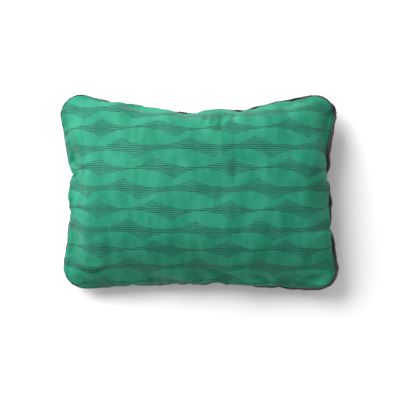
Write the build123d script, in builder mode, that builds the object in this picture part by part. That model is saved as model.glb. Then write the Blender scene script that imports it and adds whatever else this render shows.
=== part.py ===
from build123d import *
import os
import random

os.makedirs("parts", exist_ok=True)

# Camp pillow: two fabric panels sewn together around their edge, turned right side out and
# filled with loose chunks of foam. A flat pocket on the back takes the whole pillow when it is
# rolled up for the rucksack.
#
# Millimetres. It lies on its back: +X along its width, +Y towards its more hollow long edge,
# +Z up through the printed front. The origin is under its middle, on the surface it rests on.

# Overall size
width = 460.0
depth = 322.0
loft_height = 112.0
seam_height = 46.0

# Plan of the edge seam: four round ears joined by four hollow sides
ear_radius = 34.0
upper_side_hollow = 33.0
lower_side_hollow = 15.0
left_side_hollow = 18.0
right_side_hollow = 14.0

# Contours of the filled shape, from the seam to the crown above it and to the flattened back
# below it: (inset from the seam, ear radius, share of the sides' hollow, share of the height)
crown_contours = (
    (0.0, ear_radius, 1.0, 0.0),
    (5.0, 37.0, 0.94, 0.25),
    (16.0, 44.0, 0.80, 0.50),
    (36.0, 52.0, 0.50, 0.75),
    (66.0, 56.0, 0.20, 0.92),
    (112.0, 40.0, 0.05, 1.0),
)
belly_contours = (
    (0.0, ear_radius, 1.0, 0.0),
    (3.0, 36.0, 0.96, 0.28),
    (12.0, 41.0, 0.85, 0.60),
    (28.0, 48.0, 0.65, 0.86),
    (54.0, 54.0, 0.40, 1.0),
)

# Fabric
pocket_cloth = 1.0
panel_cloth = 1.2
allowance_cloth = 1.0
seam_allowance = 10.0
overlock_width = 2.0
overlock_height = 3.2

# Stow pocket on the back, sewn into the edge seam on three sides
pocket_mouth_x = 62.0
binding_width = 11.0
stitch_from_edge = 3.0
stitch_length = 3.0
stitch_pitch = 4.5
stitch_thickness = 0.8

# Foam chunks: a loose grid with one chunk in a cell, or four crumbs. The grid's levels are
# heights above and below the seam, which keep clear of the seam allowances.
foam_cell_x = 46.0
foam_cell_y = 41.0
foam_levels = (-32.1, -11.6, 11.6, 32.1, 52.6)
foam_large_size = (40.0, 35.0, 13.5)
foam_medium_size = (31.0, 27.0, 12.0)
foam_crumb_size = (17.0, 15.0, 11.0)
foam_tilt = 4.0
crumb_tilt = 12.0
foam_clearance = 0.8


def sides(inset):
    """Each side of the plan: outward normal, distance of its ears' centre line, half their span."""
    half_width = width / 2 - inset
    half_depth = depth / 2 - inset
    return (
        (Vector(1, 0), half_width, half_depth, right_side_hollow),
        (Vector(0, 1), half_depth, half_width, upper_side_hollow),
        (Vector(-1, 0), half_width, half_depth, left_side_hollow),
        (Vector(0, -1), half_depth, half_width, lower_side_hollow),
    )


def contour(inset, ear, hollow_share):
    """Draws a closed contour: hollow sides and round ears, as arcs that meet smoothly."""
    arcs = []
    for normal, reach, half_side, full_hollow in sides(inset):
        hollow = full_hollow * hollow_share
        half_span = half_side - ear
        along = Vector(-normal.Y, normal.X)
        ear_line = normal * (reach - ear)
        centre_distance = (half_span**2 + hollow**2) / (2 * hollow)
        centre = ear_line + normal * (centre_distance - hollow)
        first_ear = ear_line - along * half_span
        last_ear = ear_line + along * half_span
        start = first_ear + (centre - first_ear).normalized() * ear
        end = last_ear + (centre - last_ear).normalized() * ear
        arcs.append((start, normal * (reach - hollow), end, last_ear))
    for index, (start, middle, end, ear_centre) in enumerate(arcs):
        next_start = arcs[(index + 1) % len(arcs)][0]
        outward = (end - ear_centre) + (next_start - ear_centre)
        ThreePointArc(start, middle, end)
        ThreePointArc(end, ear_centre + outward.normalized() * ear, next_start)


def pillow_form(inset=0.0):
    """The filled pillow lying on its flattened back, inset all round."""
    halves = (
        (crown_contours, loft_height - seam_height - inset),
        (belly_contours, inset - seam_height),
    )
    with BuildPart() as form:
        for contours, height in halves:
            for contour_inset, ear, hollow_share, height_share in contours:
                with BuildSketch(Plane.XY.offset(seam_height + height * height_share)):
                    with BuildLine():
                        contour(contour_inset + inset, ear - inset, hollow_share)
                    make_face()
            loft()
    return form.part


def seam_band(outer_inset, inner_inset, half_height):
    """A flat band that follows the seam, centred on the seam's height."""
    with BuildPart() as band:
        with BuildSketch(Plane.XY.offset(seam_height - half_height)):
            with BuildLine():
                contour(outer_inset, ear_radius - outer_inset, 1.0)
            make_face()
            with BuildSketch(mode=Mode.SUBTRACT):
                with BuildLine():
                    contour(inner_inset, ear_radius - inner_inset, 1.0)
                make_face()
        extrude(amount=2 * half_height)
    return band.part


# Nested forms: the whole outside, the back panel under the pocket, and the space for the foam
outer_form = pillow_form()
under_pocket_form = pillow_form(pocket_cloth)
wall_cloth = pocket_cloth + panel_cloth
inner_form = pillow_form(wall_cloth)
flange_edge = wall_cloth + seam_allowance
flange_band = seam_band(pocket_cloth, flange_edge, allowance_cloth)
seam_plane = Plane.XY.offset(seam_height)

# The space inside, less the seam allowances that both panels turn into it
with BuildPart() as inside:
    add(inner_form)
    add(flange_band, mode=Mode.SUBTRACT)

# Printed front, with its seam allowance
with BuildPart() as front_panel:
    add(outer_form)
    add(inside.part, mode=Mode.SUBTRACT)
    split(bisect_by=seam_plane, keep=Keep.TOP)
front_panel.part.label = "front_panel"
export_step(front_panel.part, "parts/front_panel.step")

# The layer that the stow pocket takes up on the outside of the back
with BuildPart() as pocket_layer:
    add(outer_form)
    add(under_pocket_form, mode=Mode.SUBTRACT)
    split(bisect_by=seam_plane, keep=Keep.BOTTOM)
    split(bisect_by=Plane.YZ.offset(pocket_mouth_x), keep=Keep.TOP)

# Plain back, with its seam allowance, let in under the pocket
with BuildPart() as back_panel:
    add(outer_form)
    add(inside.part, mode=Mode.SUBTRACT)
    split(bisect_by=seam_plane, keep=Keep.BOTTOM)
    add(pocket_layer.part, mode=Mode.SUBTRACT)
back_panel.part.label = "back_panel"
export_step(back_panel.part, "parts/back_panel.step")

# Stow pocket, behind its bound mouth
with BuildPart() as stow_pocket:
    add(pocket_layer.part)
    split(bisect_by=Plane.YZ.offset(pocket_mouth_x + binding_width), keep=Keep.TOP)
stow_pocket.part.label = "stow_pocket"
export_step(stow_pocket.part, "parts/stow_pocket.step")

# One row of stitches through the elastic binding of the mouth, as blocks to cut it with
stitch_count = int((depth - 2 * ear_radius) / stitch_pitch)
with BuildPart() as stitch_row:
    with Locations((pocket_mouth_x + binding_width - stitch_from_edge, 0, seam_height / 2)):
        with GridLocations(stitch_pitch, stitch_pitch, 1, stitch_count):
            Box(stitch_thickness, stitch_length, 2 * seam_height)

with BuildPart() as pocket_binding:
    add(pocket_layer.part)
    split(bisect_by=Plane.YZ.offset(pocket_mouth_x + binding_width), keep=Keep.BOTTOM)
    add(stitch_row.part, mode=Mode.SUBTRACT)
pocket_binding.part.label = "pocket_binding"
export_step(pocket_binding.part, "parts/pocket_binding.step")

with BuildPart() as binding_stitches:
    add(pocket_layer.part)
    add(stitch_row.part, mode=Mode.INTERSECT)
binding_stitches.part.label = "binding_stitches"
export_step(binding_stitches.part, "parts/binding_stitches.step")

# Overlock thread over the raw edges of the two seam allowances
with BuildPart() as seam_overlock:
    add(seam_band(flange_edge, flange_edge + overlock_width, overlock_height / 2))
seam_overlock.part.label = "seam_overlock"
export_step(seam_overlock.part, "parts/seam_overlock.step")

# Foam filling: a piece is kept where all of its corners lie clear inside the panels
foam_room = pillow_form(wall_cloth + foam_clearance)
shuffle = random.Random(5)


def foam_place(x, y, level, tilt_limit):
    """A place in the filling with a slight tilt of its own about each axis."""
    tilt = [shuffle.uniform(-tilt_limit, tilt_limit) for _ in range(3)]
    return Location((x, y, seam_height + level), tilt)


def fits(place, size):
    """Whether a block of this size, put at this place, stays inside the room for the foam."""
    corners = [
        place * Location((size[0] * i / 2, size[1] * j / 2, size[2] * k / 2))
        for i in (-1, 1)
        for j in (-1, 1)
        for k in (-1, 1)
    ]
    return all(foam_room.is_inside(corner.position) for corner in corners)


large_places = []
medium_places = []
crumb_places = []
cells_across = int(width / 2 / foam_cell_x)
cells_deep = int(depth / 2 / foam_cell_y)
for index, level in enumerate(foam_levels):
    brick_shift = 0.5 * (index % 2)
    for row in range(-cells_deep, cells_deep + 1):
        for column in range(-cells_across, cells_across + 1):
            x = foam_cell_x * (column + brick_shift)
            y = foam_cell_y * (row + brick_shift)
            kind = shuffle.choice(("large", "large", "medium", "medium", "medium", "crumbs"))
            if kind == "large":
                large_places.append(foam_place(x, y, level, foam_tilt))
            elif kind == "medium":
                medium_places.append(foam_place(x, y, level, foam_tilt))
            else:
                for dx in (-foam_cell_x / 4, foam_cell_x / 4):
                    for dy in (-foam_cell_y / 4, foam_cell_y / 4):
                        crumb_places.append(foam_place(x + dx, y + dy, level, crumb_tilt))

with BuildPart() as foam_large:
    with Locations([place for place in large_places if fits(place, foam_large_size)]):
        Box(*foam_large_size)
foam_large.part.label = "foam_large"
export_step(foam_large.part, "parts/foam_large.step")

with BuildPart() as foam_medium:
    with Locations([place for place in medium_places if fits(place, foam_medium_size)]):
        Box(*foam_medium_size)
foam_medium.part.label = "foam_medium"
export_step(foam_medium.part, "parts/foam_medium.step")

with BuildPart() as foam_crumbs:
    with Locations([place for place in crumb_places if fits(place, foam_crumb_size)]):
        Box(*foam_crumb_size)
foam_crumbs.part.label = "foam_crumbs"
export_step(foam_crumbs.part, "parts/foam_crumbs.step")
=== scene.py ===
import math

import bmesh
import bpy
import numpy as np
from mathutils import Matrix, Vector, noise
from mathutils.bvhtree import BVHTree
from mathutils.geometry import delaunay_2d_cdt


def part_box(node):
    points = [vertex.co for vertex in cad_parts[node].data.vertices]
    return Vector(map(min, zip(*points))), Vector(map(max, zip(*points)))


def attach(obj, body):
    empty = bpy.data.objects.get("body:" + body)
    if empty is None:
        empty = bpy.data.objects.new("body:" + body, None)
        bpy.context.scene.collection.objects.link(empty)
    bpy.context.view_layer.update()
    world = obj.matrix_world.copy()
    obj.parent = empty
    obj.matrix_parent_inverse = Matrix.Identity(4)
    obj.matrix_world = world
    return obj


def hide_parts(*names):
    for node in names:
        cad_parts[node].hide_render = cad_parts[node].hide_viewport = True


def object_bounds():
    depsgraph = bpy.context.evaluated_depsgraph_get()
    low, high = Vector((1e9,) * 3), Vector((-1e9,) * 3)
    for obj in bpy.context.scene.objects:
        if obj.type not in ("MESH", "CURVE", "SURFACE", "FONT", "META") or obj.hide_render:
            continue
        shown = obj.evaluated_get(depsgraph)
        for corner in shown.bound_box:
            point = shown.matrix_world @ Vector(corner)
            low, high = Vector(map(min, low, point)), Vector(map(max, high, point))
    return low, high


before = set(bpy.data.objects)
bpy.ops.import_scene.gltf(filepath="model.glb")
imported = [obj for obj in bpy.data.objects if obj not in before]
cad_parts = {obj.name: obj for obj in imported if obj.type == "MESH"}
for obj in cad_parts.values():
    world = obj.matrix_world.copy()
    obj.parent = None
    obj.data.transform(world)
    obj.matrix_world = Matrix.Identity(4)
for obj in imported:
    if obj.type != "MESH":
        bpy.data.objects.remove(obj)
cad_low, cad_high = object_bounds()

MM = 0.001
BODY = "root"

# ---------------------------------------------------------------- places from the CAD frame
front_low, front_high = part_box("front_panel")
binding_low, binding_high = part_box("pocket_binding")
SEAM_Z = front_low.z
CROWN_Z = front_high.z

# ---------------------------------------------------------------- flat cut of both panels
CUT_WIDTH = 0.484
CUT_DEPTH = 0.348
CUT_CORNER = 0.050
# How far apart the cloth's points lie, over it and along its edge
CLOTH_PITCH = 5.6 * MM
RIM_PITCH = 0.9 * CLOTH_PITCH
# How far the lattice keeps off the edge and the seam, and off the borders of the mouth's binding
CLEAR_OF_EDGE = 0.55 * CLOTH_PITCH
CLEAR_OF_MOUTH = 0.4 * CLOTH_PITCH
LATTICE_UNEVENNESS = 0.16
SIDE_LENGTHS = (CUT_WIDTH, CUT_DEPTH, CUT_WIDTH, CUT_DEPTH)
CORNER_SIGNS = ((-1, -1), (1, -1), (1, 1), (-1, 1))
CUT_CORNERS = [
    np.array((i * (CUT_WIDTH / 2 - CUT_CORNER), j * (CUT_DEPTH / 2 - CUT_CORNER)))
    for i, j in CORNER_SIGNS
]

# ---------------------------------------------------------------- the edge of the filled pillow
# Sides and ears are counted anticlockwise: the lower side starts at the lower left ear. Each side
# has its direction and its way out.
SIDES = (
    (np.array((1, 0)), np.array((0, -1))),
    (np.array((0, 1)), np.array((1, 0))),
    (np.array((-1, 0)), np.array((0, 1))),
    (np.array((0, -1)), np.array((-1, 0))),
)
EAR_RADIUS = 34 * MM
# How far each ear stops short of the CAD outline in x and in y, in millimetres
EAR_SHORTFALL = ((6, 4), (0, 1), (6, 0), (1, 0))
EARS = [
    np.array((i * (cad_high.x - EAR_RADIUS - in_x * MM), j * (cad_high.y - EAR_RADIUS - in_y * MM)))
    for (i, j), (in_x, in_y) in zip(CORNER_SIGNS, EAR_SHORTFALL)
]
# How deep each side is drawn in: half a wave, raised to the power of the roundness
SIDE_HOLLOWS = (8 * MM, 12 * MM, 32 * MM, 13 * MM)
HOLLOW_ROUNDNESS = 0.95

# Places where the seam is gathered in, or bulges out where the depth is negative: the side, the
# share of it, how far the gather reaches to each side and its depth, both in millimetres
GATHERS = (
    (0, 0.56, 12, 5), (0, 0.70, 26, -3), (0, 0.12, 14, -2), (0, 0.83, 10, 3),
    (1, 0.60, 12, 7), (1, 0.27, 9, 5), (1, 0.44, 16, -3),
    (2, 0.30, 12, 4), (2, 0.16, 16, -3), (2, 0.76, 16, -6), (2, 0.52, 12, 2),
    (3, 0.38, 11, 9), (3, 0.51, 12, -5), (3, 0.66, 13, 4), (3, 0.86, 12, 2),
)

# How far the back's cloth shows past the seam from above, in millimetres, on each side
BACK_SHOWS = (0.2, 6.0, 0.0, 0.2)
# Where more of it shows, or less where the height is negative, in the same form as the gathers
BACK_BULGES = (
    (0, 0.68, 26, 1.4),
    (1, 0.72, 26, 3.5), (1, 0.92, 14, -3.0), (1, 0.03, 22, 2.0),
    (3, 0.50, 18, 1.6),
    (2, 0.20, 30, 1.2),
)
# Each side has its own amount between these shares of its length, and the ears blend two sides
SHOWN_FROM, SHOWN_TO = 0.14, 0.86
# The back's cloth reaches round the folded edge by at least this, and further where it shows
ROLL_LEAST = 2.2 * MM
ROLL_PER_SHOWN = 1.5
# The seam lies higher where the back shows. Where less than SEAM_DROP_UNDER of it shows, the seam
# lies lower and further out, under the front's swell.
SEAM_RISE_PER_SHOWN = 1.1
SEAM_DROP = 9 * MM
SEAM_OUT = 3.0 * MM
SEAM_DROP_UNDER = 3 * MM
# Gentle waves in the seam's height: height in millimetres, waves in two sides, start of the wave
SEAM_WAVES = ((1.6, 3.5, 0.6), (1.1, 9, 2))

# Points on an arc or on one span of a curve, and on a whole side before it is resampled
CURVE_STEPS = 12
SIDE_STEPS = 160


def resample(line, count):
    """The line as count points at even lengths along it, ends included."""
    run = np.concatenate([[0], np.cumsum(np.linalg.norm(np.diff(line, axis=0), axis=1))])
    at = np.linspace(0, run[-1], count)
    return np.column_stack([np.interp(at, run, line[:, k]) for k in (0, 1)])


def smooth_curve(points, count):
    """A Catmull-Rom curve through points in millimetres, as count points, ends included."""
    p = np.array(points, float) * MM
    p = np.vstack([2 * p[0] - p[1], p, 2 * p[-1] - p[-2]])
    t = np.linspace(0, 1, CURVE_STEPS, endpoint=False)[:, None]
    spans = []
    for a, b, c, d in zip(p[:-3], p[1:-2], p[2:-1], p[3:]):
        bend = 2 * a - 5 * b + 4 * c - d
        spans.append(0.5 * (2 * b + (c - a) * t + bend * t**2 + (3 * b - a - 3 * c + d) * t**3))
    return resample(np.vstack([*spans, p[-2][None]]), count)


def bumps(side, share, bump_list):
    """The sum of the side's bumps at each share of its length."""
    total = np.zeros_like(share)
    for bump_side, at, reach, height in bump_list:
        if bump_side == side:
            total += height * MM * np.exp(-(((share - at) * SIDE_LENGTHS[side] / (reach * MM)) ** 2))
    return total


def outline_side(side, count, corners, radius, hollow):
    """One side from the middle of a round corner to the middle of the next, drawn in by hollow."""
    along, out = SIDES[side]
    first, last = corners[side], corners[(side + 1) % 4]
    turn = np.linspace(math.pi / 4, 0, CURVE_STEPS)[:, None]
    share = np.linspace(0, 1, len(hollow))[:, None]
    first_arc = first + radius * (out * np.cos(turn) - along * np.sin(turn))
    middle = first + (last - first) * share + out * (radius - hollow[:, None])
    last_arc = last + radius * (out * np.cos(turn[::-1]) + along * np.sin(turn[::-1]))
    return resample(np.vstack([first_arc[:-1], middle, last_arc[1:]]), count)


def cut_side(side, count):
    """One side of the flat cut, which is a rectangle with round corners."""
    return outline_side(side, count, CUT_CORNERS, CUT_CORNER, np.zeros(2))


def rim_side(side, count):
    """One side of the filled pillow's edge, hollow between its ears and gathered."""
    share = np.linspace(0, 1, SIDE_STEPS)
    hollow = SIDE_HOLLOWS[side] * np.sin(share * math.pi) ** HOLLOW_ROUNDNESS
    fade_at_ears = np.minimum(1, 6 * share * (1 - share))
    gathered = bumps(side, share, GATHERS) * fade_at_ears
    return outline_side(side, count, EARS, EAR_RADIUS, hollow + gathered)


def closed_loop(side_maker):
    """The four sides as one loop, and each point's share: its side's number and how far along it is."""
    loops, shares = [], []
    for side, length in enumerate(SIDE_LENGTHS):
        count = int(length / RIM_PITCH)
        loops.append(side_maker(side, count + 1)[:-1])
        shares.append(side + np.arange(count) / count)
    return np.vstack(loops), np.concatenate(shares)


def back_shows(share):
    """How far the back shows past the seam: its amount on each side, blended at the ears."""
    at, amount = [], []
    for side in range(-1, 5):
        at += [side + SHOWN_FROM, side + SHOWN_TO]
        amount += [BACK_SHOWS[side % 4] * MM] * 2
    shown = np.interp(share, at, amount)
    for side in range(4):
        shown += bumps(side, share - side, BACK_BULGES)
    return np.maximum(shown, 0)


def inward_normals(line):
    """Unit vectors across an anticlockwise loop of points, one at each, pointing into it."""
    along = np.roll(line, -1, axis=0) - np.roll(line, 1, axis=0)
    inward = np.column_stack([-along[:, 1], along[:, 0]])
    return inward / np.linalg.norm(inward, axis=1)[:, None]


def distance_to_line(points, line):
    """Shortest distance from each point to a closed line of points."""
    best = np.full(len(points), 1e9)
    for a, b in zip(line, np.roll(line, -1, axis=0)):
        ab = b - a
        t = np.clip(((points - a) @ ab) / (ab @ ab + 1e-18), 0, 1)
        best = np.minimum(best, np.linalg.norm(points - a - t[:, None] * ab, axis=1))
    return best


def inside(points, line):
    """Whether each point lies inside the closed line."""
    odd = np.zeros(len(points), bool)
    for a, b in zip(line, np.roll(line, -1, axis=0)):
        if a[1] == b[1]:
            continue
        crosses = (points[:, 1] < a[1]) != (points[:, 1] < b[1])
        x = a[0] + (points[:, 1] - a[1]) / (b[1] - a[1]) * (b[0] - a[0])
        odd ^= crosses & (points[:, 0] < x)
    return odd


def lattice(seed):
    """A slightly uneven triangular lattice over the cut."""
    rows = []
    rise = CLOTH_PITCH * math.sqrt(3) / 2
    for j in range(-int(CUT_DEPTH / 2 / rise), int(CUT_DEPTH / 2 / rise) + 1):
        x = np.arange(-CUT_WIDTH / 2, CUT_WIDTH / 2, CLOTH_PITCH) + (j % 2) * CLOTH_PITCH / 2
        rows.append(np.column_stack([x, np.full(len(x), j * rise)]))
    points = np.vstack(rows)
    limit = LATTICE_UNEVENNESS
    uneven = np.random.default_rng(seed).uniform(-limit, limit, points.shape)
    return points + uneven * CLOTH_PITCH


def triangulate(points, loops, outline):
    """Triangles over the points, inside the outline, with each line of point numbers kept as edges."""
    edges = [(int(a), int(b)) for line in loops for a, b in line]
    made = delaunay_2d_cdt([Vector(p) for p in points], edges, [], 0, 1e-7)
    number = [origin[0] for origin in made[3]]
    faces = np.array([[number[v] for v in face] for face in made[2]])
    keep = inside(points[faces].mean(axis=1), outline)
    return faces[keep]


def ring_edges(first, count):
    """The edges of a closed loop of count points that starts at point first."""
    return [(first + i, first + (i + 1) % count) for i in range(count)]


# ---------------------------------------------------------------- the flat panels
class Cloth:
    """Both panels, laid flat on each other: flat places, faces and which cloth each belongs to."""


# The front's own cloth, the back's where it reaches round the folded edge, and the rest of the back
FRONT, ROLLED, BACK = 0, 1, 2


def front_mesh(rim, seam):
    """Points and triangles of the front's cut, with edges along the folded rim and the seam."""
    grid = lattice(1)
    grid = grid[inside(grid, rim)]
    clear = np.minimum(distance_to_line(grid, rim), distance_to_line(grid, seam))
    points = np.vstack([rim, seam, grid[clear > CLEAR_OF_EDGE]])
    n = len(rim)
    return points, triangulate(points, [ring_edges(0, n), ring_edges(n, n)], rim)


def back_mesh(rim):
    """Points and triangles of the back's cut, with edges along both borders of the binding."""
    grid = lattice(2)
    grid = grid[inside(grid, rim)]
    grid = grid[distance_to_line(grid, rim) > CLEAR_OF_EDGE]
    limit = CUT_DEPTH / 2 - 0.6 * CLOTH_PITCH
    count = int(2 * limit / (0.8 * CLOTH_PITCH))
    borders, chains = [], []
    for k, u in enumerate((binding_low.x, binding_high.x)):
        grid = grid[abs(grid[:, 0] - u) > CLEAR_OF_MOUTH]
        borders.append(np.column_stack([np.full(count, u), np.linspace(-limit, limit, count)]))
        first = len(rim) + k * count
        chains.append([(first + i, first + i + 1) for i in range(count - 1)])
    points = np.vstack([rim, *borders, grid])
    return points, triangulate(points, [ring_edges(0, len(rim)), *chains], rim)


def cut_panels():
    """Both panels as one cloth, which share the points of the folded rim."""
    rim, share = closed_loop(cut_side)
    n = len(rim)
    roll = ROLL_LEAST + ROLL_PER_SHOWN * back_shows(share)
    seam = rim + inward_normals(rim) * roll[:, None]
    front_points, front_faces = front_mesh(rim, seam)
    back_points, back_faces = back_mesh(rim)
    on_front = inside(front_points[front_faces].mean(axis=1), seam)

    cloth = Cloth()
    cloth.seam_ids = np.arange(n, 2 * n)
    cloth.flat = np.vstack([front_points, back_points[n:]])
    cloth.is_back = np.arange(len(cloth.flat)) >= len(front_points)
    shifted = np.where(back_faces < n, back_faces, back_faces + len(front_points) - n)
    cloth.faces = np.vstack([front_faces, shifted[:, ::-1]])
    kind = np.where(on_front, FRONT, ROLLED)
    cloth.kind = np.concatenate([kind, np.full(len(shifted), BACK)])
    cloth.seam_flat = seam
    cloth.seam_share = share
    cloth.rim_flat = rim
    cloth.rim_gap = distance_to_line(cloth.flat, rim)
    return cloth


# ---------------------------------------------------------------- cloth simulation
SIM_FRAMES = 44
SIM_DRAW_FRAMES = 18
SIM_CLOTH = {
    "quality": 5,
    "mass": 0.06,
    "tension_stiffness": 25,
    "compression_stiffness": 18,
    "shear_stiffness": 8,
    "bending_stiffness": 0.35,
    "tension_damping": 8,
    "compression_damping": 8,
    "shear_damping": 5,
    "air_damping": 3,
    "use_pressure": True,
    "uniform_pressure_force": 14.0,
}
# How far apart the panels start, and how far in from the edge they have fully parted
PARTING = 5 * MM
PARTING_REACH = 0.12


def start_places(cloth):
    """The panels slightly parted, so that the filling knows which way is out."""
    gap = np.minimum(cloth.rim_gap / PARTING_REACH, 1.0)
    rise = PARTING * np.sin(gap * math.pi / 2)
    z = SEAM_Z + np.where(cloth.is_back, -rise, rise)
    return np.column_stack([cloth.flat, z])


def seam_places(cloth):
    """Where the seam lies once the pillow is filled: inside the back's roll, gently wavy in height."""
    rim, share = closed_loop(rim_side)
    shown = back_shows(share)
    wave = sum(
        height * MM * np.sin(share * math.pi * pace + start) for height, pace, start in SEAM_WAVES
    )
    wave *= np.sin(share * math.pi) ** 2
    hidden = np.clip(1 - shown / SEAM_DROP_UNDER, 0, 1)
    height = SEAM_Z + wave + SEAM_RISE_PER_SHOWN * shown - SEAM_DROP * hidden
    return np.column_stack([rim + inward_normals(rim) * (shown - SEAM_OUT * hidden)[:, None], height])


def add_ground():
    """A ground plane for the pillow to lie on while it fills."""
    mesh = bpy.data.meshes.new("sim_ground")
    r = CUT_WIDTH
    mesh.from_pydata([(-r, -r, 0), (r, -r, 0), (r, r, 0), (-r, r, 0)], [], [(0, 1, 2, 3)])
    ground = bpy.data.objects.new("sim_ground", mesh)
    bpy.context.collection.objects.link(ground)
    ground.modifiers.new("Collision", "COLLISION")
    ground.collision.thickness_outer = 1 * MM
    ground.collision.cloth_friction = 2
    return ground


def make_cloth(body):
    """Gives the body the simulation's cloth, pressure and pinned seam."""
    modifier = body.modifiers.new("Cloth", "CLOTH")
    setting = modifier.settings
    for key, value in SIM_CLOTH.items():
        setattr(setting, key, value)
    setting.vertex_group_mass = "seam"
    setting.effector_weights.gravity = 0
    modifier.collision_settings.distance_min = 1 * MM
    modifier.point_cache.frame_start = 1
    modifier.point_cache.frame_end = SIM_FRAMES


def fill_with_pressure(cloth):
    """Cloth simulation: the seam is drawn in to its filled outline while the panels swell."""
    start = start_places(cloth)
    mesh = bpy.data.meshes.new("sim")
    mesh.from_pydata(start.tolist(), [], cloth.faces.tolist())
    body = bpy.data.objects.new("sim", mesh)
    bpy.context.collection.objects.link(body)
    pins = body.vertex_groups.new(name="seam")
    pins.add(cloth.seam_ids.tolist(), 1.0, "REPLACE")
    body.shape_key_add(name="flat")
    drawn_in = body.shape_key_add(name="drawn_in")
    for i, place in zip(cloth.seam_ids, seam_places(cloth)):
        drawn_in.data[int(i)].co = place
    scene = bpy.context.scene
    scene.frame_start, scene.frame_end = 1, SIM_FRAMES
    for value, frame_number in ((0, 1), (1, SIM_DRAW_FRAMES)):
        drawn_in.value = value
        drawn_in.keyframe_insert("value", frame=frame_number)

    ground = add_ground()
    make_cloth(body)
    for frame_number in range(1, SIM_FRAMES + 1):
        scene.frame_set(frame_number)
    graph = bpy.context.evaluated_depsgraph_get()
    result = body.evaluated_get(graph).to_mesh()
    places = np.empty(len(start) * 3)
    result.vertices.foreach_get("co", places)
    for thing in (body, ground):
        bpy.data.objects.remove(thing)
    scene.frame_set(1)
    return places.reshape(-1, 3)


# ---------------------------------------------------------------- shaping after the simulation
# Easing: none at EASE_FROM from the edge, and full from EASE_FULLY inwards
EASE_FROM = 12 * MM
EASE_FULLY = 50 * MM
EASE_ROUNDS = 14
EASE_STRENGTH = 0.6
# Cloth up to TUCK_REACH from the edge is held in, to TUCK_LEAST past what shows of the back
TUCK_LEAST = 0.5 * MM
TUCK_REACH = 60 * MM
FULLNESS = 1.45
# The lowest that any cloth may lie, and how much higher the back lies where the pocket is under it
SKIN_LIFT = 0.1 * MM
GROUND_LAYERS = 1.9 * MM
POCKET_RAMP = 20 * MM
GROUND_REACH = 9 * MM
# The pulled-in seam, and the cloth that stands up beside it
SEAM_DEPTH = 1.8 * MM
SEAM_SPREAD = 2.6 * MM
PUFF_HEIGHT = 0.7 * MM
PUFF_AT = 9 * MM
PUFF_SPREAD = 5 * MM
PUCKER_PITCH = 11 * MM
PUCKER_REACH = 17 * MM
PUCKER_HEIGHT = 1.7 * MM
# Lumps of the filling: their height, their size and where in the noise they are taken from
LUMPS = (
    (2.3 * MM, 52 * MM, Vector((3.1, 7.7, 1.3))),
    (0.9 * MM, 21 * MM, Vector((9.4, 2.2, 5.8))),
)
# Creases of the front, as places on the flat cut in millimetres: line, width, depth and the
# height of the ridge on the line's left
FOLDS = (
    (((-158, 144), (-138, 133), (-112, 127), (-86, 127)), 5.5, 4.5, 2.5),
    (((12, 146), (13, 130), (8, 108)), 4.0, 2.4, 1.4),
    (((36, 148), (40, 128), (36, 100)), 4.5, 2.8, 1.6),
    (((66, 148), (60, 132), (62, 116)), 4.0, 2.0, 1.2),
    (((-52, 150), (-40, 130), (-30, 108)), 5.0, 2.0, 1.4),
    (((56, 62), (59, 34), (56, 4)), 8.0, 2.6, 1.4),
    (((-212, -130), (-192, -137), (-168, -134), (-152, -126)), 4.5, 4.5, 3.0),
    (((6, -132), (28, -142), (52, -151), (76, -151)), 6.0, 5.0, 3.2),
    (((84, -142), (98, -151), (116, -155)), 5.0, 3.4, 2.0),
    (((150, -142), (182, -150), (212, -142)), 5.0, 3.5, 2.4),
    (((-218, 146), (-206, 138), (-198, 128)), 3.5, 2.2, 1.2),
    (((232, 40), (205, 34), (178, 22)), 5.0, 2.4, 1.6),
    (((-226, 44), (-200, 36), (-172, 40)), 5.0, 2.6, 1.6),
    (((-226, -34), (-204, -30), (-180, -38)), 5.0, 2.0, 1.4),
    (((228, -64), (206, -60), (186, -68)), 5.0, 2.2, 1.4),
)
FOLD_STEPS = 24
# Where a fold's ridge lies beside it and how wide it is, in widths of the fold
CREST_AT = 1.9
CREST_WIDTH = 1.3


def smoothstep(value, low, high):
    t = np.clip((value - low) / (high - low), 0, 1)
    return t * t * (3 - 2 * t)


def point_normals(places, faces):
    corners = faces.shape[1]
    a, b, c = (places[faces[:, k]] for k in range(3))
    face_normals = np.cross(b - a, c - a)
    normals = np.zeros_like(places)
    for k in range(corners):
        np.add.at(normals, faces[:, k], face_normals)
    return normals / (np.linalg.norm(normals, axis=1)[:, None] + 1e-12)


def refine(cloth, places):
    """The same cloth with finer faces: its places, and a new cloth for them."""
    mesh = bpy.data.meshes.new("fine")
    mesh.from_pydata(places.tolist(), [], cloth.faces.tolist())
    flat = np.column_stack([cloth.flat, cloth.is_back]).astype(np.float32)
    mesh.attributes.new("cloth_at", "FLOAT_VECTOR", "POINT").data.foreach_set("vector", flat.ravel())
    mesh.attributes.new("kind", "INT", "FACE").data.foreach_set("value", cloth.kind.astype(np.int32))
    holder = bpy.data.objects.new("fine", mesh)
    bpy.context.collection.objects.link(holder)
    holder.modifiers.new("smooth", "SUBSURF").levels = 1
    apply_modifiers(holder)
    made = holder.data
    count = len(made.vertices)
    fine_places, fine_flat = np.empty(count * 3), np.empty(count * 3)
    made.vertices.foreach_get("co", fine_places)
    made.attributes["cloth_at"].data.foreach_get("vector", fine_flat)
    corners = np.empty(len(made.polygons) * 4, int)
    made.polygons.foreach_get("vertices", corners)
    kind = np.empty(len(made.polygons), int)
    made.attributes["kind"].data.foreach_get("value", kind)
    bpy.data.objects.remove(holder)
    fine_flat = fine_flat.reshape(-1, 3)

    fine = Cloth()
    fine.flat = fine_flat[:, :2]
    fine.is_back = fine_flat[:, 2] > 0.01
    fine.faces = corners.reshape(-1, 4)
    fine.kind = kind
    fine.seam_flat = cloth.seam_flat
    fine.rim_flat = cloth.rim_flat
    fine.gap, fine.along = seam_gap(fine)
    return fine_places.reshape(-1, 3), fine


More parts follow.
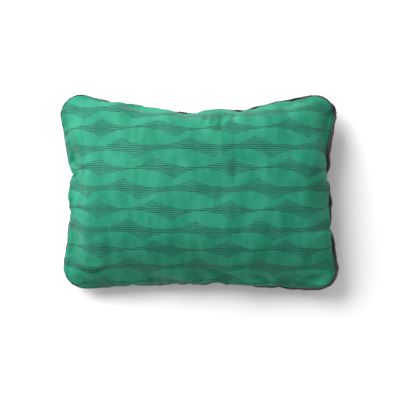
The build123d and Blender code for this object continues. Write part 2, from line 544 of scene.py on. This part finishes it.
def seam_gap(cloth):
    """Each point's distance along the cloth to the sewn seam, and how far round the seam that is."""
    to_seam = distance_to_line(cloth.flat, cloth.seam_flat)
    to_rim = distance_to_line(cloth.flat, cloth.rim_flat)
    best = np.full(len(cloth.flat), 1e9)
    roll, along = np.zeros(len(cloth.flat)), np.zeros(len(cloth.flat))
    for index, (rim, seam) in enumerate(zip(cloth.rim_flat, cloth.seam_flat)):
        away = np.sum((cloth.flat - rim) ** 2, axis=1)
        nearer = away < best
        roll = np.where(nearer, np.linalg.norm(seam - rim), roll)
        along = np.where(nearer, index * RIM_PITCH, along)
        best = np.where(nearer, away, best)
    return np.where(cloth.is_back, to_rim + roll, to_seam), along


def ease_creases(cloth, places):
    """Relaxes the middle of both panels, where loose foam holds the cloth out evenly."""
    a = np.concatenate([cloth.faces[:, 0], cloth.faces[:, 1], cloth.faces[:, 2]])
    b = np.concatenate([cloth.faces[:, 1], cloth.faces[:, 2], cloth.faces[:, 0]])
    count = np.zeros(len(places))
    np.add.at(count, a, 1)
    np.add.at(count, b, 1)
    share = EASE_STRENGTH * smoothstep(cloth.rim_gap, EASE_FROM, EASE_FULLY)
    out = places.copy()
    for _ in range(EASE_ROUNDS):
        total = np.zeros_like(out)
        np.add.at(total, a, out[b])
        np.add.at(total, b, out[a])
        out += share[:, None] * (total / count[:, None] - out)
    return out


def tuck_back(cloth, places):
    """Holds the back's swell in, so that it reaches past the seam only as far as it shows."""
    seam = places[cloth.seam_ids, :2]
    outward = -inward_normals(seam)
    limits = back_shows(cloth.seam_share) + TUCK_LEAST
    dark = np.ones(len(places), bool)
    dark[cloth.faces[cloth.kind == FRONT]] = False
    out = places.copy()
    for index in np.flatnonzero(dark & (cloth.rim_gap < TUCK_REACH)):
        away = places[index, :2] - seam
        nearest = np.argmin(np.sum(away**2, axis=1))
        offset = away[nearest] @ outward[nearest]
        if offset > 0:
            limit = limits[nearest]
            held = limit * (1 - math.exp(-offset / limit))
            out[index, :2] -= outward[nearest] * (offset - held)
    return out


def fuller(share):
    """Steepens the walls next to the seam and flattens the middle, as a well filled pillow does."""
    return 1 - (1 - np.clip(share, 0, 1)) ** FULLNESS


def settle(cloth, places):
    """Brings the crown to its height and lays the flat of the back on the ground."""
    out = places.copy()
    z = out[:, 2]
    above = z > SEAM_Z
    top, contact = z.max(), z.min()
    z[above] = SEAM_Z + (CROWN_Z - SEAM_Z) * fuller((z[above] - SEAM_Z) / (top - SEAM_Z))
    z[~above] = SEAM_Z - (SEAM_Z - contact) * fuller((SEAM_Z - z[~above]) / (SEAM_Z - contact))
    under_pocket = smoothstep(cloth.flat[:, 0], binding_low.x - POCKET_RAMP, binding_low.x)
    ground = SKIN_LIFT + GROUND_LAYERS * under_pocket
    near_ground = np.exp(-(z - contact) / GROUND_REACH)
    z += np.where(above, 0, (ground - contact) * near_ground)
    return out


def add_relief(cloth, places):
    """The pulled-in seam, its puckers, the lumps of the filling and the folds, along the normals."""
    gap = cloth.gap
    seam = -SEAM_DEPTH * np.exp(-((gap / SEAM_SPREAD) ** 2))
    puff = PUFF_HEIGHT * np.exp(-(((gap - PUFF_AT) / PUFF_SPREAD) ** 2))
    lumps = np.zeros(len(places))
    for height, size, shift in LUMPS:
        lumps += height * np.array([noise.noise(Vector(place) / size + shift) for place in places])
    lumps *= smoothstep(gap, 4 * MM, 25 * MM)
    turns = cloth.along / PUCKER_PITCH
    puckers = np.array([noise.noise((at, 0.5, 0.5 + back)) for at, back in zip(turns, cloth.is_back)])
    puckers *= PUCKER_HEIGHT * smoothstep(gap, 0, 5 * MM) * np.exp(-gap / PUCKER_REACH)
    folds = np.zeros(len(places))
    for line, width, depth, ridge in FOLDS:
        folds += fold_relief(cloth, line, width * MM, depth * MM, ridge * MM)
    off_ground = smoothstep(places[:, 2], 3 * MM, 18 * MM)
    push = seam + (puff + lumps + puckers) * off_ground + np.where(cloth.is_back, 0, folds)
    return places + point_normals(places, cloth.faces) * push[:, None]


def fold_relief(cloth, line, width, depth, ridge):
    """A crease along a line of the front: a valley that fades at both ends, with a ridge beside it."""
    line = smooth_curve(line, FOLD_STEPS)
    best = np.full(len(cloth.flat), 1e9)
    share, side = np.zeros(len(cloth.flat)), np.zeros(len(cloth.flat))
    for index, (a, b) in enumerate(zip(line[:-1], line[1:])):
        ab = b - a
        t = np.clip(((cloth.flat - a) @ ab) / (ab @ ab), 0, 1)
        off = cloth.flat - a - t[:, None] * ab
        away = np.linalg.norm(off, axis=1)
        nearer = away < best
        best = np.where(nearer, away, best)
        share = np.where(nearer, (index + t) / (len(line) - 1), share)
        side = np.where(nearer, np.sign(ab[0] * off[:, 1] - ab[1] * off[:, 0]), side)
    fade = np.sin(np.clip(share, 0.0, 1.0) * math.pi) ** 0.8
    valley = -depth * np.exp(-((best / width) ** 2))
    crest = ridge * np.exp(-(((best * side - CREST_AT * width) / (CREST_WIDTH * width)) ** 2))
    return (valley + crest) * fade


class Surface:
    """Finds the place and outward normal on one panel for a place in the flat cut."""

    def __init__(self, cloth, places, faces):
        self.flat = cloth.flat
        self.places = places
        self.faces = np.vstack([faces[:, [0, 1, 2]], faces[:, [0, 2, 3]]])
        self.normals = point_normals(places, cloth.faces)
        flat3 = [Vector((p[0], p[1], 0)) for p in cloth.flat]
        self.tree = BVHTree.FromPolygons(flat3, self.faces.tolist())

    def at(self, u, v):
        hit, _, index, _ = self.tree.find_nearest(Vector((u, v, 0)))
        corners = self.faces[index]
        flat = self.flat[corners]
        edges = np.column_stack([flat[1] - flat[0], flat[2] - flat[0]])
        b, c = np.linalg.solve(edges, np.array([hit.x, hit.y]) - flat[0])
        weights = np.array([1 - b - c, b, c])
        normal = weights @ self.normals[corners]
        return weights @ self.places[corners], normal / np.linalg.norm(normal)


# ---------------------------------------------------------------- shader helpers
class Nodes:
    """Builds a material's node tree with short calls."""

    def __init__(self, name):
        self.material = bpy.data.materials.new(name)
        self.material.use_nodes = True
        self.tree = self.material.node_tree
        self.shader = self.tree.nodes["Principled BSDF"]

    def node(self, kind, inputs=(), **settings):
        made = self.tree.nodes.new(kind)
        for key, value in settings.items():
            setattr(made, key, value)
        for key, value in dict(inputs).items():
            self.put(made.inputs[key], value)
        return made

    def put(self, socket, value):
        if isinstance(value, bpy.types.NodeSocket):
            self.tree.links.new(value, socket)
        else:
            socket.default_value = value

    def look(self, **values):
        """Sets the shader's inputs, named with _ for each space."""
        for key, value in values.items():
            self.put(self.shader.inputs[key.replace("_", " ")], value)

    def bump(self, height, strength, distance):
        """Shades the surface as if it had this height."""
        made = self.node("ShaderNodeBump", {"Height": height, "Strength": strength, "Distance": distance})
        self.look(Normal=made.outputs[0])

    def on_cloth(self):
        """The place on the flat cut, which every piece of cloth carries with it."""
        return self.node("ShaderNodeAttribute", attribute_name="cloth_at").outputs["Vector"]

    def math(self, operation, *values):
        made = self.node("ShaderNodeMath", operation=operation)
        for socket, value in zip(made.inputs, values):
            self.put(socket, value)
        return made.outputs[0]

    def plus(self, a, b):
        return self.math("ADD", a, b)

    def minus(self, a, b):
        return self.math("SUBTRACT", a, b)

    def times(self, a, b):
        return self.math("MULTIPLY", a, b)

    def mix(self, share, a, b):
        """Colour a where share is 0 and b where it is 1."""
        made = self.node("ShaderNodeMix", {"Factor": share, "A": a, "B": b}, data_type="RGBA")
        return made.outputs["Result"]

    def noise(self, place, scale, detail=2.0, rough=0.5):
        inputs = {"Vector": place, "Scale": scale, "Detail": detail, "Roughness": rough}
        return self.node("ShaderNodeTexNoise", inputs).outputs["Fac"]

    def step(self, value, low, high):
        """0 below low, 1 above high, and a smooth rise between them."""
        inputs = {"Value": value, "From Min": low, "From Max": high}
        made = self.node("ShaderNodeMapRange", inputs, interpolation_type="SMOOTHSTEP")
        return made.outputs["Result"]


def weave(n, place, pitch):
    """Height of a plain weave: over and under threads of the given pitch, in metres, from 0 to 1."""
    split = n.node("ShaderNodeSeparateXYZ", {"Vector": place})
    turn = math.pi / pitch
    warp = n.math("SINE", n.times(split.outputs[0], turn))
    weft = n.math("SINE", n.times(split.outputs[1], turn))
    over = n.times(warp, weft)
    return n.plus(n.times(over, 0.5), 0.5)


GREEN = (0.002, 0.158, 0.088, 1)
GREEN_PALE = (0.016, 0.222, 0.134, 1)
PRINT_DARK = (0.008, 0.052, 0.044, 1)
# The print, in metres: rows of hatching, which swell to a cusp at set shares of the repeat
ROW_PITCH = 0.0334
ROW_START = 0.0057
PRINT_REPEAT = 0.215
LINE_PITCH = 0.0031
LINE_HALF = 0.00080
# Even and odd rows differ: where the repeat starts, how wide the hatching is between its cusps,
# and where the cusps above and below the row are and how high
EVEN_START, ODD_START = 0.438, 0.240
EVEN_BAND, ODD_BAND = 0.0032, 0.0020
EVEN_ABOVE = ((0.0, 0.52), (0.0150, 0.0135))
EVEN_BELOW = ((0.115, 0.69), (0.0155, 0.0145))
ODD_ABOVE = ((0.0, 0.43), (0.0145, 0.0155))
ODD_BELOW = ((0.0, 0.576), (0.0140, 0.0155))
# Each row's own shift, as a share of the repeat, and how fast it changes from row to row
ROW_DRIFT = 0.018
ROW_DRIFT_PACE = 2.6
CUSP_SHARPNESS = 2.3


def ridge_envelope(n, phase, peaks, heights):
    """Half-height of the hatching at a phase of the repeat: it sweeps up to a cusp at each peak."""
    total = None
    for index, peak in enumerate(peaks):
        after = (index + 1) % len(peaks)
        span = (peaks[after] - peak) % 1.0
        local = n.math("DIVIDE", n.math("FRACT", n.plus(phase, 1.0 - peak)), span)
        here = n.math("LESS_THAN", local, 1.0)
        off_middle = n.math("ABSOLUTE", n.minus(n.times(local, 2.0), 1.0))
        height = n.plus(n.times(local, heights[after] - heights[index]), heights[index])
        sweep = n.math("POWER", off_middle, CUSP_SHARPNESS)
        rise = n.times(sweep, n.times(here, height))
        total = rise if total is None else n.plus(total, rise)
    return total


def choose(n, share, a, b):
    """a where share is 0 and b where it is 1."""
    return n.plus(n.times(share, n.minus(b, a)), a)


def hatching_reach(n, u, row, off_row):
    """How far inside the hatching each spot is, or outside it where the number is negative."""
    odd = n.math("ABSOLUTE", n.math("MODULO", row, 2.0))
    drift = n.times(n.math("SINE", n.times(row, ROW_DRIFT_PACE)), ROW_DRIFT)
    start = n.plus(choose(n, odd, EVEN_START, ODD_START), drift)
    phase = n.minus(n.math("DIVIDE", u, PRINT_REPEAT), start)
    above = n.math("GREATER_THAN", off_row, 0.0)
    even = choose(n, above, ridge_envelope(n, phase, *EVEN_BELOW), ridge_envelope(n, phase, *EVEN_ABOVE))
    uneven = choose(n, above, ridge_envelope(n, phase, *ODD_BELOW), ridge_envelope(n, phase, *ODD_ABOVE))
    height = n.plus(choose(n, odd, even, uneven), choose(n, odd, EVEN_BAND, ODD_BAND))
    return n.minus(height, n.math("ABSOLUTE", off_row))


def hatched_print(n, place):
    """How strongly each spot is printed: rows of fine lines that swell into ridges both ways."""
    split = n.node("ShaderNodeSeparateXYZ", {"Vector": place})
    u, v = split.outputs[0], split.outputs[1]
    row_at = n.math("DIVIDE", n.minus(v, ROW_START), ROW_PITCH)
    row = n.math("ROUND", row_at)
    off_row = n.times(n.minus(row_at, row), ROW_PITCH)
    inside_ridge = n.step(hatching_reach(n, u, row, off_row), -0.0003, 0.0003)
    line_at = n.math("DIVIDE", off_row, LINE_PITCH)
    line = n.math("ROUND", line_at)
    from_line = n.math("ABSOLUTE", n.minus(line_at, line))
    half = LINE_HALF / LINE_PITCH
    drawn = n.minus(1.0, n.step(from_line, half * 0.7, half * 1.3))
    # Each line wears unevenly along its length, and prints more strongly near the row
    own_line = n.plus(line, n.times(row, 17.0))
    wear_at = n.node("ShaderNodeCombineXYZ", {"X": n.times(u, 40.0), "Y": own_line})
    wear = n.step(n.noise(wear_at.outputs[0], 1.0, 3.0), 0.25, 0.6)
    near_row = n.minus(1.0, n.step(n.math("ABSOLUTE", off_row), 0.002, 0.008))
    worn = n.plus(n.times(wear, 0.35), 0.40)
    strength = n.plus(n.times(near_row, 0.30), worn)
    return n.times(n.times(drawn, inside_ridge), strength)


def front_material():
    n = Nodes("brushed_green_print")
    place = n.on_cloth()
    streaks_at = n.node("ShaderNodeVectorMath", {0: place, 1: (34.0, 11.0, 1.0)}, operation="MULTIPLY")
    patches = n.noise(streaks_at.outputs[0], 1.0, 4.0, 0.6)
    fibres = n.noise(place, 900.0, 2.0, 0.6)
    base = n.mix(n.step(patches, 0.34, 0.66), GREEN, GREEN_PALE)
    base = n.mix(n.times(n.step(fibres, 0.3, 0.75), 0.25), base, GREEN_PALE)
    fuzz = n.plus(0.85, n.times(fibres, 0.3))
    printed = n.times(hatched_print(n, place), fuzz)
    n.look(Base_Color=n.mix(printed, base, PRINT_DARK), Roughness=0.72, Specular_IOR_Level=0.22)
    n.look(Sheen_Weight=0.05, Sheen_Roughness=0.5, Sheen_Tint=(0.75, 1.0, 0.9, 1))
    threads = weave(n, place, FRONT_THREADS)
    pile = n.plus(n.times(fibres, 0.7), n.times(threads, 0.3))
    n.bump(pile, 0.35, 0.0004)
    return n.material


# Pitches of threads, ribs and yarns, in metres
FRONT_THREADS = 0.0009
BACK_THREADS = 0.0007
ELASTIC_RIBS = 0.0012
ELASTIC_YARNS = 0.0009

CHARCOAL = (0.013, 0.011, 0.014, 1)
# The back's paler tone: its random patches, and the painted highlight on the weave's raised threads
CHARCOAL_PALE = (0.034, 0.029, 0.037, 1)
# The elastic's colour in its grooves, darkened as painted shade, and on its ribs, lightened as painted
# highlight
ELASTIC_GROOVE_SHADE = (0.008, 0.008, 0.010, 1)
ELASTIC_RIB_HIGHLIGHT = (0.035, 0.034, 0.038, 1)
THREAD_DARK = (0.010, 0.010, 0.012, 1)
THREAD_PALE = (0.05, 0.048, 0.052, 1)
# Painted shade in the foam's open pores
FOAM_PORE_SHADE = (0.42, 0.37, 0.25, 1)
FOAM_DARK = (0.62, 0.56, 0.40, 1)
FOAM_PALE = (0.80, 0.76, 0.62, 1)


def charcoal_material():
    n = Nodes("charcoal_weave")
    place = n.on_cloth()
    threads = weave(n, place, BACK_THREADS)
    patches = n.noise(place, 30.0, 3.0)
    # Painted shade and highlight: paler where the threads rise over, darker where they pass under, by the
    # weave height that the bump uses
    base = n.mix(n.times(threads, 0.6), CHARCOAL, CHARCOAL_PALE)
    base = n.mix(n.times(n.step(patches, 0.4, 0.75), 0.3), base, CHARCOAL_PALE)
    n.look(Base_Color=base, Roughness=0.6, Specular_IOR_Level=0.4)
    n.look(Sheen_Weight=0.25, Sheen_Roughness=0.4)
    n.bump(threads, 0.5, 0.0003)
    return n.material


def elastic_material():
    n = Nodes("ribbed_elastic")
    split = n.node("ShaderNodeSeparateXYZ", {"Vector": n.on_cloth()})
    ribs = n.math("SINE", n.times(split.outputs[0], 2 * math.pi / ELASTIC_RIBS))
    yarns = n.math("SINE", n.times(split.outputs[1], 2 * math.pi / ELASTIC_YARNS))
    height = n.plus(n.times(ribs, 0.5), n.times(yarns, 0.25))
    # Painted shade and highlight: darker in the grooves and paler on the rib tops, by the same height
    # that the bump uses
    base = n.mix(n.step(height, -0.6, 0.7), ELASTIC_GROOVE_SHADE, ELASTIC_RIB_HIGHLIGHT)
    n.look(Base_Color=base, Roughness=0.7, Sheen_Weight=0.2)
    n.bump(height, 0.6, 0.0004)
    return n.material


def thread_material():
    n = Nodes("spun_thread")
    place = n.node("ShaderNodeNewGeometry").outputs["Position"]
    base = n.mix(n.noise(place, 2500.0, 2.0), THREAD_DARK, THREAD_PALE)
    n.look(Base_Color=base, Roughness=0.55, Sheen_Weight=0.3)
    return n.material


def foam_material():
    n = Nodes("open_cell_foam")
    place = n.node("ShaderNodeTexCoord").outputs["Object"]
    cells = n.node("ShaderNodeTexVoronoi", {"Vector": place, "Scale": 700.0})
    pores = n.step(cells.outputs["Distance"], 0.15, 0.6)
    solid = n.mix(n.step(n.noise(place, 35.0, 2.0), 0.3, 0.7), FOAM_DARK, FOAM_PALE)
    # The pores, where the bump sinks, are painted darker as shade in their hollows
    n.look(Base_Color=n.mix(pores, FOAM_PORE_SHADE, solid), Roughness=0.95)
    n.bump(pores, 0.6, 0.0008)
    return n.material


# ---------------------------------------------------------------- pieces
PANEL_CLOTH = 0.8 * MM
POCKET_CLOTH = 0.6 * MM
POCKET_LIFT = 0.9 * MM
ALLOWANCE = 10.0 * MM
ALLOWANCE_START = 3.4 * MM
ALLOWANCE_DROOP = 6.0 * MM
ALLOWANCE_CLOTH = 0.5 * MM
ALLOWANCE_LIFT = 0.4 * MM
BINDING_TAPE = 0.9 * MM
BINDING_LIFT = 1.0 * MM
BINDING_GATHER = 0.5 * MM
BINDING_GATHER_PITCH = 0.011
STITCH_FROM_EDGE = 3 * MM
STITCH_PITCH = 4.5 * MM
STITCH_LENGTH = 3.0 * MM
STITCH_END_GAP = 12 * MM
STITCH_RADIUS = 0.28 * MM
# How far a stitch stands off the back's cloth, and its shape: shares of its length and how deep
# it sinks there, in millimetres
STITCH_LIFT = 1.35
STITCH_SHAPE = ((0.0, 0.5), (0.2, 0.0), (0.5, -0.15), (0.8, 0.0), (1.0, 0.5))
OVERLOCK_PITCH = 3.0 * MM
OVERLOCK_WIDTH = 3.2 * MM
OVERLOCK_RADIUS = 0.35 * MM


def mesh_piece(name, verts, faces, attributes, material):
    mesh = bpy.data.meshes.new(name)
    mesh.from_pydata(verts.tolist(), [], faces.tolist())
    for key, values in attributes.items():
        layer = mesh.attributes.new(key, "FLOAT_VECTOR", "POINT")
        layer.data.foreach_set("vector", values.astype(np.float32).ravel())
    mesh.materials.append(material)
    mesh.polygons.foreach_set("use_smooth", [True] * len(mesh.polygons))
    piece = bpy.data.objects.new(name, mesh)
    bpy.context.collection.objects.link(piece)
    return piece


def apply_modifiers(piece):
    graph = bpy.context.evaluated_depsgraph_get()
    made = bpy.data.meshes.new_from_object(piece.evaluated_get(graph))
    piece.modifiers.clear()
    piece.data = made


def allowance_strip(seam, lift):
    """The seam allowance of one panel: a strip turned in from the seam, which droops a little."""
    inward = np.column_stack([inward_normals(seam), np.zeros(len(seam))])
    rise = np.array([0, 0, lift])
    droop = np.array([0, 0, -ALLOWANCE_DROOP])
    start = seam + inward * ALLOWANCE_START
    middle = start + inward * ALLOWANCE * 0.5 + rise + droop * 0.7
    rows = [start + rise * 0.3 + droop * 0.2, middle, start + inward * ALLOWANCE + rise + droop]
    n = len(seam)
    i = np.arange(n)
    k = (i + 1) % n
    faces = np.vstack([np.column_stack([i, k, k + n, i + n]), np.column_stack([i, k, k + n, i + n]) + n])
    return np.vstack(rows), faces, rows[-1]


def join_pieces(name, parts):
    """Joins objects into the first of them, under one name."""
    for other in bpy.context.selected_objects:
        other.select_set(False)
    for part in parts:
        part.select_set(True)
    bpy.context.view_layer.objects.active = parts[0]
    bpy.ops.object.join()
    parts[0].name = name
    return parts[0]


def cloth_piece(name, cloth, places, chosen, material, thickness, seam=None, allowance_lift=0.0):
    """The chosen faces as a piece of cloth, with its own seam allowance where a seam is given."""
    used, faces = np.unique(cloth.faces[chosen], return_inverse=True)
    flat = np.column_stack([cloth.flat[used], np.zeros(len(used))])
    piece = mesh_piece(name, places[used], faces.reshape(-1, 4), {"cloth_at": flat}, material)
    shell = piece.modifiers.new("thickness", "SOLIDIFY")
    shell.thickness = thickness
    shell.offset = -1
    apply_modifiers(piece)
    if seam is None:
        return piece
    verts, quads, _ = allowance_strip(seam, allowance_lift)
    flange = mesh_piece(name + "_allowance", verts, quads, {"cloth_at": verts}, material)
    edge = flange.modifiers.new("thickness", "SOLIDIFY")
    edge.thickness = ALLOWANCE_CLOTH
    edge.offset = 0
    apply_modifiers(flange)
    return join_pieces(name, [piece, flange])


def finish_piece(piece, slot, *nodes):
    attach(piece, BODY)
    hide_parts(*nodes)


def make_thread(name, lines, radius, material, cyclic=False):
    """A thread as one curve with a spline for each line of points."""
    curve = bpy.data.curves.new(name, "CURVE")
    curve.dimensions = "3D"
    curve.bevel_depth = radius
    curve.bevel_resolution = 1
    for line in lines:
        spline = curve.splines.new("POLY")
        spline.points.add(len(line) - 1)
        for point, place in zip(spline.points, line):
            point.co = (*place, 1)
        spline.use_cyclic_u = cyclic
    curve.materials.append(material)
    thread = bpy.data.objects.new(name, curve)
    bpy.context.collection.objects.link(thread)
    return thread


def make_binding(cloth, places):
    """Elastic tape folded over the pocket's mouth: ribbed, and drawn into small gathers."""
    centre_u = cloth.flat[cloth.faces].mean(axis=1)[:, 0]
    strip = (cloth.kind != FRONT) & (centre_u > binding_low.x) & (centre_u < binding_high.x)
    normals = point_normals(places, cloth.faces)
    gathers = BINDING_GATHER * np.sin(cloth.flat[:, 1] * 2 * math.pi / BINDING_GATHER_PITCH)
    off_ground = smoothstep(places[:, 2], 3 * MM, 12 * MM)
    lift = (BINDING_LIFT + gathers * off_ground) * smoothstep(cloth.gap, 0, 5 * MM)
    raised = places + normals * lift[:, None]
    binding = cloth_piece("mouth_binding", cloth, raised, strip, elastic_material(), BINDING_TAPE)
    finish_piece(binding, "elastic_binding", "pocket_binding")


def make_mouth_stitches(cloth, places):
    """Separate stitches in a row near the binding's edge on the pocket's side."""
    back = Surface(cloth, places, cloth.faces[cloth.kind == BACK])
    u = binding_high.x - STITCH_FROM_EDGE
    reach = CUT_DEPTH / 2 - STITCH_END_GAP
    stitches = []
    for step in range(int(2 * reach / STITCH_PITCH)):
        v = -reach + STITCH_PITCH * step
        line = []
        for share, sink in STITCH_SHAPE:
            place, normal = back.at(u, v + STITCH_LENGTH * share)
            line.append(place + normal * (STITCH_LIFT - sink) * MM)
        stitches.append(line)
    thread = make_thread("mouth_stitches", stitches, STITCH_RADIUS, thread_material())
    finish_piece(thread, "thread", "binding_stitches")


def make_overlock(seam):
    """Overlock over both raw edges: one thread in a zigzag that wraps round them."""
    _, _, edge = allowance_strip(seam, 0.0)
    closed = np.vstack([edge, edge[:1]])
    run = np.concatenate([[0], np.cumsum(np.linalg.norm(np.diff(closed, axis=0), axis=1))])
    count = int(run[-1] / OVERLOCK_PITCH)
    line = []
    for step in range(count):
        here, ahead = ((step + d) / count * run[-1] for d in (0, 0.5))
        middle = np.array([np.interp(here, run, closed[:, k]) for k in range(3)])
        beyond = np.array([np.interp(min(ahead, run[-1]), run, closed[:, k]) for k in range(3)])
        along = beyond - middle
        out = np.array([along[1], -along[0], 0]) / (np.linalg.norm(along[:2]) + 1e-9)
        up = np.array([0, 0, 1])
        quarter = along * 0.5
        line += [
            middle + out * OVERLOCK_WIDTH + up * 1.0 * MM,
            middle + quarter - out * 0.4 * MM + up * 0.9 * MM,
            middle + 2 * quarter - out * 0.4 * MM - up * 0.9 * MM,
            middle + 3 * quarter + out * OVERLOCK_WIDTH - up * 1.0 * MM,
        ]
    thread = make_thread("overlock_thread", [line], OVERLOCK_RADIUS, thread_material(), cyclic=True)
    finish_piece(thread, "thread", "seam_overlock")


# ---------------------------------------------------------------- foam filling
# How far the chunks keep off the cloth, and how often a chunk may be moved in and shrunk for it
FOAM_MARGIN = 3.0 * MM
FOAM_TRIES = 14
FOAM_SHRINK = 0.95
FOAM_SIZE = 0.94
BLOCKINESS = 0.55
# Torn faces: how fine the noise is, how strong, and how far apart two chunks lie in it
TEARS = ((1.7, 0.26, 90), (4, 0.12, 50))


def islands(mesh):
    """The points of each separate chunk in a mesh, whose faces meet at the same places."""
    places = np.empty(len(mesh.vertices) * 3)
    mesh.vertices.foreach_get("co", places)
    places = places.reshape(-1, 3)
    keys = {}
    number = [keys.setdefault(tuple(np.round(p, 6)), len(keys)) for p in places]
    parent = list(range(len(keys)))

    def root(i):
        while parent[i] != i:
            parent[i] = parent[parent[i]]
            i = parent[i]
        return i

    for face in mesh.polygons:
        first = root(number[face.vertices[0]])
        for v in face.vertices[1:]:
            parent[root(number[v])] = first
    groups = {}
    for place, index in keys.items():
        groups.setdefault(root(index), []).append(place)
    return [np.array(sorted(g)) for g in groups.values()]


def chunk_shape(level):
    """A unit ball cut into even faces, to be torn into a chunk."""
    mesh = bmesh.new()
    bmesh.ops.create_icosphere(mesh, subdivisions=level, radius=1.0)
    mesh.verts.ensure_lookup_table()
    points = np.array([v.co[:] for v in mesh.verts])
    faces = np.array([[v.index for v in f.verts] for f in mesh.faces])
    mesh.free()
    return points, faces


def torn(ball, centre):
    """The ball's points pushed in and out by noise that differs from chunk to chunk."""
    points = []
    for p in ball:
        rough = sum(
            noise.noise(Vector(p * fineness + centre * spacing)) * depth
            for fineness, depth, spacing in TEARS
        )
        points.append(p * (0.93 + rough))
    return np.array(points)


def worst_overlap(points, skin):
    """How far the chunk comes too close to the cloth at the worst of its points, and the way out."""
    worst, push = -1.0, None
    for p in points[:: max(1, len(points) // 30)]:
        near, normal, _, _ = skin.find_nearest(Vector(p))
        outside = (Vector(p) - near).dot(normal) + FOAM_MARGIN
        if outside > worst:
            worst, push = outside, normal
    return worst, push


def make_foam(node, name, skin, level):
    """Torn foam chunks, one where each block of the CAD node lies, kept clear of the cloth."""
    ball, ball_faces = chunk_shape(level)
    cube = ball / np.max(np.abs(ball), axis=1)[:, None]
    blocky = cube * BLOCKINESS + ball * (1 - BLOCKINESS)
    all_points, all_faces = [], []
    for corners in islands(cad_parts[node].data):
        centre = corners.mean(axis=0)
        spread = corners - centre
        _, _, axes = np.linalg.svd(spread, full_matrices=False)
        size = np.abs(spread @ axes.T).max(axis=0) * FOAM_SIZE
        for _ in range(FOAM_TRIES):
            points = centre + (torn(blocky, centre) * size) @ axes
            worst, push = worst_overlap(points, skin)
            if worst <= 0:
                break
            centre = centre - np.array(push) * (worst + 0.5 * MM)
            size = size * FOAM_SHRINK
        all_faces.append(ball_faces + len(ball) * len(all_points))
        all_points.append(points)
    piece = mesh_piece(name, np.vstack(all_points), np.vstack(all_faces), {}, foam_material())
    finish_piece(piece, "foam", node)


def make_pocket(cloth, places, on_back, material):
    """The second layer of dark cloth over one end of the back, which fades into the seam."""
    centre_u = cloth.flat[cloth.faces].mean(axis=1)[:, 0]
    lift = POCKET_LIFT * smoothstep(cloth.gap, 0, 4 * MM)
    raised = places + point_normals(places, cloth.faces) * lift[:, None]
    behind_mouth = on_back & (centre_u > binding_low.x + 3 * MM)
    pocket = cloth_piece("pocket_cloth", cloth, raised, behind_mouth, material, POCKET_CLOTH)
    finish_piece(pocket, "dark_back", "stow_pocket")


def make_pillow():
    coarse = cut_panels()
    relaxed = ease_creases(coarse, fill_with_pressure(coarse))
    shaped = settle(coarse, tuck_back(coarse, relaxed))
    seam = shaped[coarse.seam_ids]
    filled, cloth = refine(coarse, shaped)
    places = add_relief(cloth, filled)
    places[:, 2] = np.maximum(places[:, 2], SKIN_LIFT)

    panels = (cloth, places)
    on_front = cloth.kind == FRONT
    green = front_material()
    front = cloth_piece("front_cloth", *panels, on_front, green, PANEL_CLOTH, seam, ALLOWANCE_LIFT)
    finish_piece(front, "printed_front", "front_panel")
    charcoal = charcoal_material()
    back = cloth_piece("back_cloth", *panels, ~on_front, charcoal, PANEL_CLOTH, seam, -ALLOWANCE_LIFT)
    finish_piece(back, "dark_back", "back_panel")
    make_pocket(cloth, places, ~on_front, charcoal)
    make_binding(cloth, places)
    make_mouth_stitches(cloth, places)
    make_overlock(seam)

    skin = BVHTree.FromPolygons([Vector(p) for p in places], cloth.faces.tolist())
    make_foam("foam_large", "foam_chunks_large", skin, 3)
    make_foam("foam_medium", "foam_chunks_medium", skin, 3)
    make_foam("foam_crumbs", "foam_chunks_small", skin, 2)


# ---------------------------------------------------------------- stage, camera and light
# The photo's width at the height of the seam, and the place under its middle
PHOTO_SPAN = 0.657
PHOTO_MIDDLE = (0.001, -0.0125)
CAMERA_LENS = 85.0
CAMERA_SENSOR = 36.0
FLOOR_REACH = 6
FLOOR_DROP = 0.0005
WORLD_STRENGTH = 0.58
KEY_PLACE = (-0.95, 1.0, 1.15)
KEY_TARGET = (0, 0, 0.05)
KEY_SIZE = 1.7
KEY_POWER = 60


def make_stage():
    mesh = bpy.data.meshes.new("floor")
    r = FLOOR_REACH
    mesh.from_pydata([(-r, -r, 0), (r, -r, 0), (r, r, 0), (-r, r, 0)], [], [(0, 1, 2, 3)])
    n = Nodes("pale_floor")
    n.look(Base_Color=(0.93, 0.93, 0.93, 1), Roughness=0.9)
    mesh.materials.append(n.material)
    floor = bpy.data.objects.new("floor", mesh)
    floor.location.z = -FLOOR_DROP
    bpy.context.collection.objects.link(floor)


def make_camera():
    data = bpy.data.cameras.new("camera")
    data.lens = CAMERA_LENS
    data.sensor_width = CAMERA_SENSOR
    camera = bpy.data.objects.new("camera", data)
    distance = PHOTO_SPAN * CAMERA_LENS / CAMERA_SENSOR
    camera.location = (*PHOTO_MIDDLE, SEAM_Z + distance)
    bpy.context.collection.objects.link(camera)
    bpy.context.scene.camera = camera


def make_light():
    """A plain white world, and a soft key light from the upper left."""
    world = bpy.data.worlds.new("studio")
    world.use_nodes = True
    background = world.node_tree.nodes["Background"]
    background.inputs["Color"].default_value = (1, 1, 1, 1)
    background.inputs["Strength"].default_value = WORLD_STRENGTH
    bpy.context.scene.world = world
    bpy.context.scene.view_settings.view_transform = "Standard"
    data = bpy.data.lights.new("key", "AREA")
    data.shape = "DISK"
    data.size = KEY_SIZE
    data.energy = KEY_POWER
    key = bpy.data.objects.new("key", data)
    key.location = KEY_PLACE
    towards = Vector(KEY_TARGET) - Vector(KEY_PLACE)
    key.rotation_euler = towards.to_track_quat("-Z", "Y").to_euler()
    bpy.context.collection.objects.link(key)


make_camera()
make_stage()
make_light()
make_pillow()
